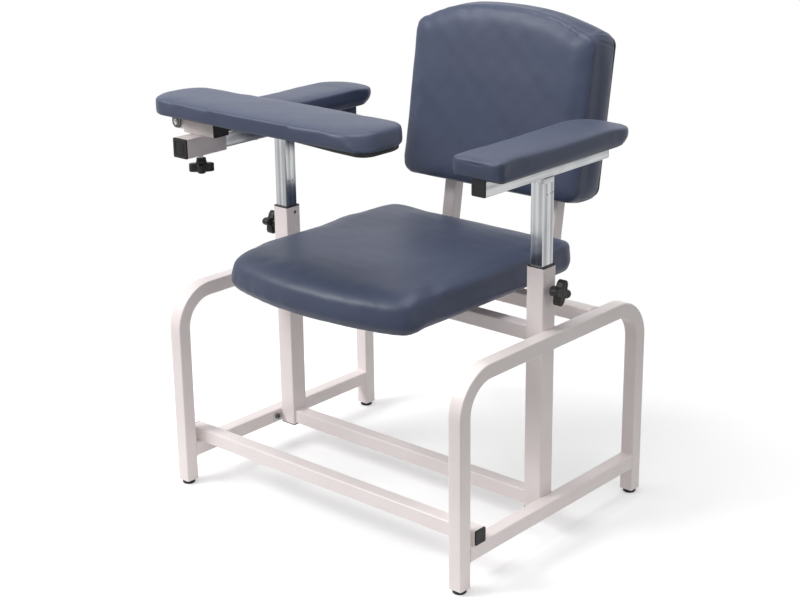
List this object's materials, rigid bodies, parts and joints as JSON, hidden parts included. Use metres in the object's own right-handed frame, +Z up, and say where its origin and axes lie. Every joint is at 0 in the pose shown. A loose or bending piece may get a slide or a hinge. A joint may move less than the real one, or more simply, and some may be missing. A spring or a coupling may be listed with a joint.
{
  "type": "phlebotomy chair",
  "caption": "Blood-draw chair with a padded seat and back, a square-tube frame, height-adjustable padded armrests and a flip-up drawing pad across the front.",
  "frame": {"origin": "on the floor, midway between the two side frames and midway between their front and rear legs", "axes": "+Z up, the chair faces -Y, +X is the sitter's left"},
  "size_m": [0.834, 0.7104, 0.9882],
  "materials": {
    "white_paint": "smooth off-white powder coat",
    "chrome": "polished chrome plating",
    "steel": "bright zinc-plated steel",
    "dark_steel": "blackened steel",
    "black_plastic": "black moulded plastic",
    "vinyl": "slate blue vinyl upholstery over foam, satin",
    "board": "black painted plywood"
  },
  "bodies": {
    "chair": {"left_side_frame": "white_paint", "right_side_frame": "white_paint", "feet": "black_plastic", "left_stretcher": "white_paint", "right_stretcher": "white_paint", "front_floor_rail": "white_paint", "floor_rail_caps": "black_plastic", "rear_floor_rail": "white_paint", "seat_front_rail": "white_paint", "seat_rear_rail": "white_paint", "left_upright": "white_paint", "right_upright": "white_paint", "upright_plugs": "black_plastic", "left_bush": "black_plastic", "right_bush": "black_plastic", "bush_screws": "dark_steel", "stretcher_bolts": "dark_steel", "stretcher_washers": "steel", "left_back_support": "white_paint", "right_back_support": "white_paint", "support_caps": "black_plastic", "support_bolts": "steel", "seat_board": "board", "seat_cushion": "vinyl", "seat_bolts": "steel", "back_board": "board", "back_battens": "board", "back_cushion": "vinyl", "back_cover": "black_plastic", "cover_screws": "chrome", "back_bolts": "steel"},
    "left_armrest": {"left_post": "chrome", "left_rail": "chrome", "left_rail_caps": "black_plastic", "left_arm_board": "board", "left_arm_cushion": "vinyl", "left_arm_bolts": "steel"},
    "right_armrest": {"right_post": "chrome", "right_rail": "chrome", "right_rail_cap": "black_plastic", "right_arm_board": "board", "right_arm_cushion": "vinyl", "right_arm_bolts": "steel"},
    "drawing_arm": {"arm_sleeve": "white_paint", "sleeve_liners": "black_plastic", "sleeve_cap": "black_plastic", "arm_bracket": "white_paint", "bracket_cap": "black_plastic"},
    "drawing_pad": {"pad_hinge": "white_paint", "hinge_screws": "steel", "pivot_bolt": "chrome", "pivot_nut": "chrome", "drawing_board": "board", "drawing_cushion": "vinyl"},
    "left_height_knob": {"left_knob": "black_plastic", "left_knob_stud": "steel"},
    "right_height_knob": {"right_knob": "black_plastic", "right_knob_stud": "steel"},
    "sleeve_clamp_knob": {"sleeve_knob": "black_plastic", "sleeve_knob_stud": "steel"}
  },
  "joints": [
    {"name": "left_armrest_height", "type": "slide", "parent": "chair", "child": "left_armrest", "axis": [0, 0, 1], "range_m": [-0.12, 0.06]},
    {"name": "right_armrest_height", "type": "slide", "parent": "chair", "child": "right_armrest", "axis": [0, 0, 1], "range_m": [-0.12, 0.06]},
    {"name": "drawing_arm_reach", "type": "slide", "parent": "right_armrest", "child": "drawing_arm", "axis": [0, -1, 0], "range_m": [-0.015, 0.025]},
    {"name": "drawing_pad_tilt", "type": "hinge", "parent": "drawing_arm", "child": "drawing_pad", "pos_m": [-0.394, -0.223, 0.78], "axis": [0, -1, 0], "range_deg": [0, 95]},
    {"name": "left_height_knob_turn", "type": "hinge", "parent": "chair", "child": "left_height_knob", "pos_m": [0.366, 0.005, 0.515], "axis": [-1, 0, 0], "range_deg": [0, 360]},
    {"name": "right_height_knob_turn", "type": "hinge", "parent": "chair", "child": "right_height_knob", "pos_m": [-0.366, 0.005, 0.515], "axis": [1, 0, 0], "range_deg": [0, 360]},
    {"name": "sleeve_clamp_knob_turn", "type": "hinge", "parent": "drawing_arm", "child": "sleeve_clamp_knob", "pos_m": [-0.34, -0.232, 0.711], "axis": [0, 0, 1], "range_deg": [0, 360]}
  ]
}
